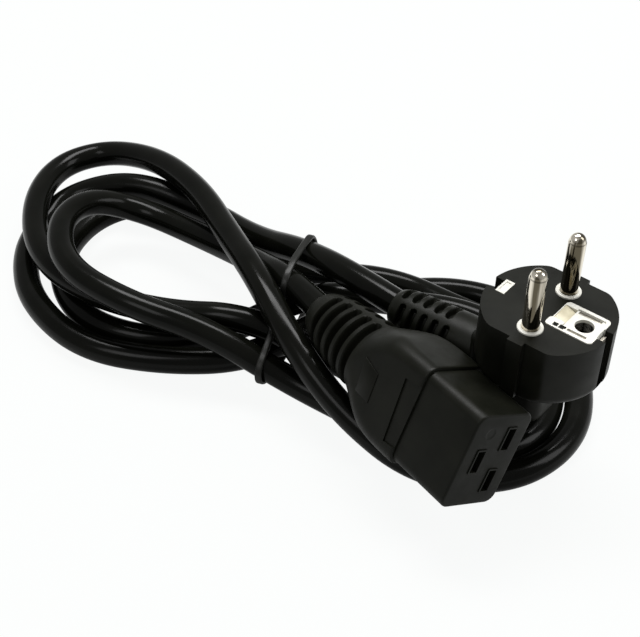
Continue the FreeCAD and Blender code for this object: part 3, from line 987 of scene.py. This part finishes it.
@dataclass
class Plug:
    """Round plug with two pins, a white bridge and a strain relief to one side.

    Its X points at the earth hole, Y along the row of pins, Z along the pins, and its face
    is at zero. shoulder holds (distance below the tip, how far the pin is drawn in) rows.
    """

    pose: Pose = PLUG
    # Disc, its ribs and its back
    disc_r: float = 18.0
    disc_h: float = 18.6
    disc_edge: float = 3.4
    disc_edge_rows: int = 8
    disc_waist: float = -5.0
    disc_columns: int = 192
    flat_y: float = 15.6
    flat_soft: float = 0.7
    rib_w: float = 4.4
    rib_out: float = 1.5
    rib_root: float = 2.0
    rib_up: float = 0.6
    back: Block = Block((-19.0, -7.8, -35.5), (5.0, 7.8, -13.0), 3.6, 8)
    shell_soft: float = 0.16
    # Notches and pockets in the face
    notch_w: float = 4.2
    clear_x: float = 24.0
    far_notch_x: float = -15.1
    far_notch_up: float = 3.2
    near_notch_x: float = 15.5
    near_notch_up: float = 1.4
    frame_pocket: Block = Block((2.3, -5.75, -4.0), (15.52, 5.75, PROUD), 1.3, 6, True)
    block_pocket: Block = Block((-15.12, -2.85, -4.0), (-12.3, 2.85, PROUD))
    earth_x: float = 10.5
    earth_r: float = 2.6
    well_r: float = 3.45
    well_l: float = 13.05
    well_columns: int = 64
    # White bridge, with what lies in its openings
    frame_block: Block = Block((2.35, -5.7, -3.9), (15.45, 5.7, 0.35), 1.3, 6, True)
    frame_step: Block = Block((1.75, -5.68, -1.5), (4.2, -2.3, 0.345), 0.9, 6, True)
    frame_field: Block = Block((5.95, -4.7, -0.05), (14.4, 4.7, PROUD), 0.5, 4, True)
    left_groove: Block = Block((6.6, 3.35, -1.1), (13.4, 4.65, PROUD), 0.25, 3, True)
    right_groove: Block = Block((7.6, -4.75, -1.1), (13.2, -3.35, PROUD), 0.25, 3, True)
    ramp_opening: Block = Block((2.6, -2.25, -1.4), (6.05, 4.05, PROUD))
    inner_gap: Block = Block((3.7, -5.2, -1.9), (5.2, -3.7, PROUD))
    outer_gap: Block = Block((5.5, -5.2, -1.9), (7.0, -3.6, PROUD))
    clip_opening: Block = Block((15.2, -2.1, -3.0), (16.0, 2.1, PROUD))
    earth_hole_l: float = 5.0
    side_block: Block = Block((-15.05, -2.8, -3.9), (-12.35, 2.8, 0.2))
    side_field: Block = Block((-14.5, -2.1, -0.04), (-12.95, 2.1, PROUD))
    collar_grip: float = 0.05
    collar_lip: float = 0.12
    collar_root: float = -1.0
    collar_shoulder: float = 0.36
    collar_top: float = 0.5
    collar_outside: tuple[Flat, ...] = ((3.2, 0.46), (3.42, 0.34), (3.5, 0.1))
    round_columns: int = 96
    bridge_soft: float = 0.12
    ramp_block: Block = Block((2.62, -2.2, -1.38), (6.03, 4.0, 0.26), 0.12, 2)
    ramp_foot: float = -0.8
    ramp_from: float = 2.7
    ramp_to: float = 6.1
    gap_backing: Block = Block((3.5, -5.35, -1.3), (7.2, -3.4, 0.12), 0.08, 2)
    # Earth strap metal at the bottom of each groove, which also stands for painted shade in the groove.
    left_strip_and_shade: Block = Block((6.4, 3.2, -1.3), (13.6, 4.8, -0.42), 0.08, 2)
    right_strip_and_shade: Block = Block((7.4, -4.9, -1.3), (13.4, -3.2, -0.42), 0.08, 2)
    # Pins
    pin_r: float = 2.4
    pin_l: float = 19.0
    pin_gap: float = 19.0
    shank_r: float = 1.9
    shank_l: float = 7.0
    shank_top: float = 0.3
    shaft_foot: float = 0.34
    shaft_waist: float = 8.0
    shoulder: tuple[Flat, ...] = ((2.55, 0.0), (2.38, 0.04), (2.3, 0.16))
    dome_rows: int = 10
    # Neck and strain relief, on the cord's axis
    axis_z: float = -25.0
    neck_x: float = -24.0
    neck_columns: int = 176
    sleeve: StrainRelief = StrainRelief(
        profile=((-7.0, 7.9), (-2.0, 8.0), (0.0, 7.95), (6.0, 7.6), (12.0, 7.2), (17.0, 6.8),
                 (19.5, 6.45), (21.3, 5.9), (22.4, 5.3), (22.95, 4.7)),
        rows=(SlotRow(10.0, 54.0, 0.4), SlotRow(-66.0, 64.0), SlotRow(114.0, 64.0),
              SlotRow(190.0, 54.0, 0.4)),
        first=3.2, pitch=3.75, slot_w=1.75, depth=2.2, soft=0.3,
        cut_from=1.0, cut_to=21.0, mouth=22.99,
    )

    def held_in(self, reach: float) -> float:
        """Distance from the middle, held in at the flats with a rounded corner.

        Args:
            reach: distance on the full round.

        Returns:
            The distance on the disc.
        """
        share = min(1.0, max(0.0, 0.5 + 0.5 * (self.flat_y - reach) / self.flat_soft))
        return self.flat_y + (reach - self.flat_y) * share - self.flat_soft * share * (1.0 - share)

    def disc(self) -> Mesh:
        """Disc with its rounded lower edge and its two flats.

        Returns:
            The new mesh.
        """
        inner = self.disc_r - self.disc_edge
        profile = [(0.0, -self.disc_h), (inner, -self.disc_h)]
        for k in range(1, self.disc_edge_rows + 1):
            a = math.radians(90.0 * k / self.disc_edge_rows)
            profile.append((inner + self.disc_edge * math.sin(a),
                            -self.disc_h + self.disc_edge - self.disc_edge * math.cos(a)))
        profile += [(self.disc_r, self.disc_waist), (self.disc_r, 0.0), (0.0, 0.0)]
        bm = lathe(profile, self.disc_columns)
        for vert in bm.verts:
            vert.co.y = math.copysign(self.held_in(abs(vert.co.y)), vert.co.y)
        return bm

    def shell(self) -> bpy.types.Object:
        """Disc, ribs and back, with the notches and pockets in the face.

        Returns:
            The shell.
        """
        ribs = []
        for side in (-1.0, 1.0):
            root, out = sorted((side * (self.flat_y - self.rib_root),
                                side * (self.flat_y + self.rib_out)))
            ribs.append(Block((-self.rib_w / 2.0, root, self.rib_up - self.disc_h),
                              (self.rib_w / 2.0, out, 0.0)).mesh())
        bm = carve(self.disc(), ribs + [self.back.mesh()], Carving.JOIN)
        half = self.notch_w / 2.0
        far_notch = Block((-self.clear_x, -half, self.far_notch_up - self.disc_h),
                          (self.far_notch_x, half, PROUD))
        near_notch = Block((self.near_notch_x, -half, self.near_notch_up - self.disc_h),
                           (self.clear_x, half, PROUD))
        pockets = [far_notch, near_notch, self.frame_pocket, self.block_pocket]
        well = rod(self.well_r, -self.well_l, PROUD, (self.earth_x, 0.0), self.well_columns)
        bm = carve(bm, [pocket.mesh() for pocket in pockets] + [well])
        return finish_piece("plug_shell", bm, self.pose, MOULDED_PVC,
                            ("plug_body",), self.shell_soft)

    def relief(self) -> bpy.types.Object:
        """Neck and strain relief in one, on the cord's axis.

        Returns:
            The strain relief.
        """
        bm = lathe([(1.0, z) for z in self.sleeve.heights()], self.neck_columns)
        set_reach(bm, self.sleeve.reach)
        turn = Matrix(((0, 0, -1, self.neck_x), (0, 1, 0, 0), (1, 0, 0, self.axis_z), (0, 0, 0, 1)))
        bmesh.ops.transform(bm, matrix=turn, verts=bm.verts)
        return finish_piece("plug_strain_relief", bm, self.pose, MOULDED_PVC)

    def bridge(self) -> bpy.types.Object:
        """White bridge: frame round the earth hole, block at the other side, pins' collars.

        Returns:
            The bridge.
        """
        earth_hole = rod(self.earth_r, -self.earth_hole_l, PROUD, (self.earth_x, 0.0),
                         self.round_columns)
        openings = [self.left_groove, self.right_groove, self.ramp_opening, self.inner_gap,
                    self.outer_gap, self.clip_opening]
        cuts = [self.frame_field.mesh(), earth_hole] + [opening.mesh() for opening in openings]
        bm = carve(self.frame_block.mesh(), [self.frame_step.mesh()], Carving.JOIN)
        bm = carve(bm, cuts)
        add(bm, carve(self.side_block.mesh(), [self.side_field.mesh()]))
        bore = self.pin_r - self.collar_grip
        outer = self.collar_outside[-1][0]
        profile = [(bore, self.collar_root), (bore, self.collar_shoulder),
                   (self.pin_r + self.collar_lip, self.collar_top), *self.collar_outside,
                   (outer, self.collar_root)]
        for y in (-self.pin_gap / 2.0, self.pin_gap / 2.0):
            ring = lathe(profile, self.round_columns)
            bmesh.ops.translate(ring, vec=(0.0, y, 0.0), verts=ring.verts)
            add(bm, ring)
        return finish_piece("plug_bridge_face", bm, self.pose, WHITE_NYLON,
                            ("plug_bridge",), self.bridge_soft)

    def ramp(self) -> bpy.types.Object:
        """Cream ramp inside the frame, next to the earth hole.

        Returns:
            The ramp.
        """
        bm = self.ramp_block.mesh()
        for vert in bm.verts:
            if vert.co.z > self.ramp_foot:
                vert.co.z -= smooth_step(self.ramp_from, self.ramp_to, vert.co.x)
        return finish_piece("plug_frame_ramp", bm, self.pose, CREAM_NYLON)

    def gaps(self) -> bpy.types.Object:
        """Dark backing under the two small gaps in the frame."""
        return finish_piece("plug_frame_gaps", self.gap_backing.mesh(), self.pose, MOULDED_PVC)

    def strips_and_shade(self) -> bpy.types.Object:
        """Metal of the earth strap at the bottom of the two grooves of the frame, dark so that it also
        stands for painted shade in the grooves.

        Returns:
            The two pieces of metal.
        """
        bm = self.left_strip_and_shade.mesh()
        add(bm, self.right_strip_and_shade.mesh())
        return finish_piece("plug_frame_strips_and_shade", bm, self.pose, STRIP_METAL)

    def pin(self, name: str, y: float) -> bpy.types.Object:
        """One round pin with its stepped dome.

        Args:
            name: CAD node that it stands for.
            y: place along the row.

        Returns:
            The pin.
        """
        r = self.pin_r
        profile = [(0.0, -self.shank_l), (self.shank_r, -self.shank_l),
                   (self.shank_r, self.shank_top), (r, self.shaft_foot), (r, self.shaft_waist)]
        profile += [(r - inward, self.pin_l - below) for below, inward in self.shoulder]
        dome_h, inward = self.shoulder[-1]
        for k in range(1, self.dome_rows + 1):
            a = math.radians(90.0 * k / self.dome_rows)
            profile.append(((r - inward) * math.cos(a), self.pin_l - dome_h + dome_h * math.sin(a)))
        bm = lathe(profile, self.round_columns)
        bmesh.ops.translate(bm, vec=(0.0, y, 0.0), verts=bm.verts)
        return finish_piece(name + "_plated", bm, self.pose, NICKEL_PAINTED_REFLECTIONS, (name,),
                            sharp=SHARP_PAST_ON_ROUNDS)

    def build(self) -> list[bpy.types.Object]:
        """Build the visible pieces in order.

        Returns:
            The pieces.
        """
        half = self.pin_gap / 2.0
        return [
            self.shell(),
            self.relief(),
            self.bridge(),
            self.ramp(),
            self.gaps(),
            self.strips_and_shade(),
            self.pin("plug_line_pin", half),
            self.pin("plug_neutral_pin", -half),
        ]


@dataclass
class Cord:
    """The round sheathed cord on its route."""

    diameter: float = 0.0082
    length: float = 1.62
    steps: int = 16
    rounding: int = 14

    def build(self, carried: list[bpy.types.Object]) -> bpy.types.Object:
        """Args:
            carried: pieces of the plug at its far end. It is not used.

        Returns:
            The cord.
        """
        curve = bpy.data.curves.new("power_cord", "CURVE")
        curve.dimensions = "3D"
        curve.resolution_u = self.steps
        curve.bevel_depth = self.diameter / 2.0
        curve.bevel_resolution = self.rounding
        spline = curve.splines.new("NURBS")
        spline.points.add(len(ROUTE) - 1)
        for point, place in zip(spline.points, ROUTE):
            point.co = (*place, 1.0)
        spline.order_u = 3
        spline.use_endpoint_u = True
        piece = linked("power_cord", curve)
        curve.materials.append(CORD_PVC.material())
        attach(piece, "root")
        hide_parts("cord")
        LOG.info("power_cord: %d route points", len(ROUTE))
        return piece


@dataclass
class Tie:
    """Flat strip drawn round the waist of the coil, under its topmost strand.

    line holds (across, height) points in millimetres in the plane of the tie.
    """

    at: Point = (-1.9, -8.3, 0.0)
    normal: Point = (0.942, -0.335, 0.0)
    half_width: float = 0.55
    edge: float = 0.55
    steps: int = 8
    rounding: int = 3
    merge: float = 1e-4
    line: tuple[Flat, ...] = (
        (22.4, 29.2), (15.0, 30.0), (8.5, 29.9), (3.6, 28.0), (1.6, 24.0), (-1.0, 19.6),
        (-4.8, 18.6), (-9.5, 16.7), (-14.0, 14.9), (-17.9, 12.9), (-19.2, 9.6), (-17.0, 6.0),
        (-11.0, 3.6), (-4.0, 1.7), (2.8, 0.8), (12.0, 1.8), (24.0, 3.8), (31.0, 4.9),
        (35.2, 7.1), (35.9, 10.6), (33.6, 15.5), (29.3, 22.5), (27.6, 26.2), (25.6, 28.4),
    )

    def curve(self) -> bpy.types.Curve:
        """Closed curve with the strip's section.

        Returns:
            The curve.
        """
        curve = bpy.data.curves.new("tie_line", "CURVE")
        curve.dimensions = "3D"
        curve.resolution_u = self.steps
        curve.extrude = self.half_width
        curve.bevel_depth = self.edge
        curve.bevel_resolution = self.rounding
        curve.twist_mode = "Z_UP"
        spline = curve.splines.new("BEZIER")
        spline.bezier_points.add(len(self.line) - 1)
        for point, (across, height) in zip(spline.bezier_points, self.line):
            point.co = (across, height, 0.0)
            point.handle_left_type = "AUTO"
            point.handle_right_type = "AUTO"
        spline.use_cyclic_u = True
        return curve

    def build(self) -> bpy.types.Object:
        """Bend the strip round the strands.

        Returns:
            The tie.
        """
        curve = self.curve()
        holder = linked("tie_line", curve)
        graph = bpy.context.evaluated_depsgraph_get()
        mesh = bpy.data.meshes.new_from_object(holder.evaluated_get(graph))
        bm = bmesh.new()
        bm.from_mesh(mesh)
        bpy.data.objects.remove(holder)
        bpy.data.curves.remove(curve)
        bpy.data.meshes.remove(mesh)
        bmesh.ops.remove_doubles(bm, verts=bm.verts, dist=self.merge)
        bmesh.ops.recalc_face_normals(bm, faces=bm.faces)
        across = Vector((0.0, 0.0, 1.0)).cross(Vector(self.normal))
        pose = Pose(self.at, tuple(across), self.normal)
        return finish_piece("coil_tie", bm, pose, TIE_PLASTIC, ("twist_tie",),
                            sharp=SHARP_PAST_ON_ROUNDS)


class InnerParts:
    """CAD nodes that stay as they are and only get a finish."""

    def dress(self) -> None:
        """Give every carried-over node the finish of its slot."""
        slots = {slot.value: slot for slot in Slot}
        for part in frame["record"]["subparts"]:
            node = frame["nodes"].get(part["node"])
            slot = slots.get(part["material_slot"])
            if node is None or slot is None:
                continue
            node.data.materials.clear()
            node.data.materials.append(BY_SLOT[slot].material())
            LOG.info("%s: %s", part["node"], BY_SLOT[slot].name)


@dataclass(frozen=True)
class SoftBox:
    """A rectangular lamp: its place and size in metres and its power in watts."""

    name: str
    at: Point
    size: Flat
    power: float


@dataclass
class Studio:
    """Pale floor, soft lights and the camera of the photograph.

    Places are in metres, lens and sensor in millimetres and the tilt in degrees. floor_white
    is the share of plain white in what the camera sees of the floor, mirror_white its share
    in what metal and gloss mirror, and surround the strength of the light from all round.
    """

    camera_at: Point = (0.0095, -0.3420, 0.3067)
    camera_tilt: float = 49.0
    lens: float = 84.4
    sensor: float = 36.0
    near_clip: float = 0.01
    floor_half: float = 6.0
    floor_colour: tuple[float, float, float, float] = (0.62, 0.63, 0.62, 1.0)
    floor_rough: float = 0.9
    floor_specular: float = 0.1
    floor_white: float = 0.935
    mirror_white: float = 0.34
    surround: float = 0.16
    aim: Point = (0.01, -0.02, 0.02)
    lamps: tuple[SoftBox, ...] = (
        SoftBox("back_top", (0.03, 0.42, 1.05), (0.95, 0.34), 18.0),
        SoftBox("front_left", (-0.55, -0.55, 0.85), (0.4, 0.4), 2.2),
        SoftBox("right", (0.75, -0.10, 0.60), (0.35, 0.5), 3.0),
    )

    def seen(self, tree: Tree, direct: float) -> Socket:
        """Share of plain white for the rays that see the background.

        Args:
            tree: node tree of the floor or the world.
            direct: share for what the camera sees.

        Returns:
            The socket that carries the share.
        """
        path = tree.nodes.new("ShaderNodeLightPath").outputs
        indirect = self.combine(tree, Blend.LARGER, path["Is Glossy Ray"], path["Is Transmission Ray"])
        far = self.combine(tree, Blend.PRODUCT, indirect, self.mirror_white)
        near = self.combine(tree, Blend.PRODUCT, path["Is Camera Ray"], direct)
        return self.combine(tree, Blend.LARGER, near, far)

    @staticmethod
    def combine(tree: Tree, blend: Blend, first: Socket, second: Socket | float) -> Socket:
        """One Math node.

        Args:
            tree: node tree that it goes in.
            blend: what it does.
            first: its first value.
            second: its second value, a socket or a number.

        Returns:
            Its result.
        """
        node = tree.nodes.new("ShaderNodeMath")
        node.operation = blend.value
        tree.links.new(first, node.inputs[0])
        if isinstance(second, float):
            node.inputs[1].default_value = second
        else:
            tree.links.new(second, node.inputs[1])
        return node.outputs["Value"]

    @staticmethod
    def mix(tree: Tree, share: Socket, under: Socket, over: Socket, end: Node) -> None:
        """Mix two shaders and hand the result to the tree's output.

        Args:
            tree: node tree of the floor or the world.
            share: share of the second shader.
            under: the first shader.
            over: the second shader.
            end: output node.
        """
        mix = tree.nodes.new("ShaderNodeMixShader")
        tree.links.new(share, mix.inputs["Fac"])
        tree.links.new(under, mix.inputs[1])
        tree.links.new(over, mix.inputs[2])
        tree.links.new(mix.outputs["Shader"], end.inputs["Surface"])

    def floor(self) -> None:
        """Lay the pale floor."""
        bm = bmesh.new()
        bmesh.ops.create_grid(bm, x_segments=1, y_segments=1, size=self.floor_half)
        piece = as_object("floor", bm)
        material = bpy.data.materials.new("pale_floor")
        material.use_nodes = True
        tree = material.node_tree
        shader = tree.nodes["Principled BSDF"]
        shader.inputs["Base Color"].default_value = self.floor_colour
        shader.inputs["Roughness"].default_value = self.floor_rough
        shader.inputs["Specular IOR Level"].default_value = self.floor_specular
        white = tree.nodes.new("ShaderNodeEmission")
        white.inputs["Color"].default_value = PAGE_WHITE
        white.inputs["Strength"].default_value = 1.0
        self.mix(tree, self.seen(tree, self.floor_white), shader.outputs["BSDF"],
                 white.outputs["Emission"], tree.nodes["Material Output"])
        piece.data.materials.append(material)

    def lamp(self, box: SoftBox) -> None:
        """Hang a soft box that looks at the middle of the part.

        Args:
            box: the lamp.
        """
        light = bpy.data.lights.new(box.name, "AREA")
        light.shape = "RECTANGLE"
        light.size, light.size_y = box.size
        light.energy = box.power
        lamp = linked(box.name, light)
        lamp.location = box.at
        lamp.rotation_euler = (Vector(self.aim) - Vector(box.at)).to_track_quat("-Z", "Y").to_euler()

    def world(self) -> None:
        """Soft surround, white where the camera sees it."""
        world = bpy.data.worlds.new("surround")
        bpy.context.scene.world = world
        world.use_nodes = True
        tree = world.node_tree
        soft = tree.nodes["Background"]
        soft.inputs["Color"].default_value = (1.0, 1.0, 1.0, 1.0)
        soft.inputs["Strength"].default_value = self.surround
        white = tree.nodes.new("ShaderNodeBackground")
        white.inputs["Color"].default_value = PAGE_WHITE
        white.inputs["Strength"].default_value = 1.0
        self.mix(tree, self.seen(tree, 1.0), soft.outputs["Background"],
                 white.outputs["Background"], tree.nodes["World Output"])

    def camera(self) -> None:
        """Set the camera where the photograph was taken from."""
        data = bpy.data.cameras.new("camera")
        data.lens = self.lens
        data.sensor_width = self.sensor
        data.sensor_fit = "HORIZONTAL"
        data.clip_start = self.near_clip
        camera = linked("camera", data)
        camera.location = self.camera_at
        camera.rotation_euler = (math.radians(self.camera_tilt), 0.0, 0.0)
        bpy.context.scene.camera = camera

    def build(self) -> None:
        """Set up floor, lights, surround and camera."""
        bpy.context.scene.view_settings.view_transform = "Standard"
        self.floor()
        for box in self.lamps:
            self.lamp(box)
        self.world()
        self.camera()


def main() -> None:
    """Build the studio, the inner parts, the connector, the plug, the cord and the tie."""
    logging.basicConfig(level=logging.INFO, format="%(name)s %(message)s")
    Studio().build()
    InnerParts().dress()
    Connector().build()
    plug = Plug().build()
    Cord().build(plug)
    Tie().build()


if __name__ == "__main__":
    main()
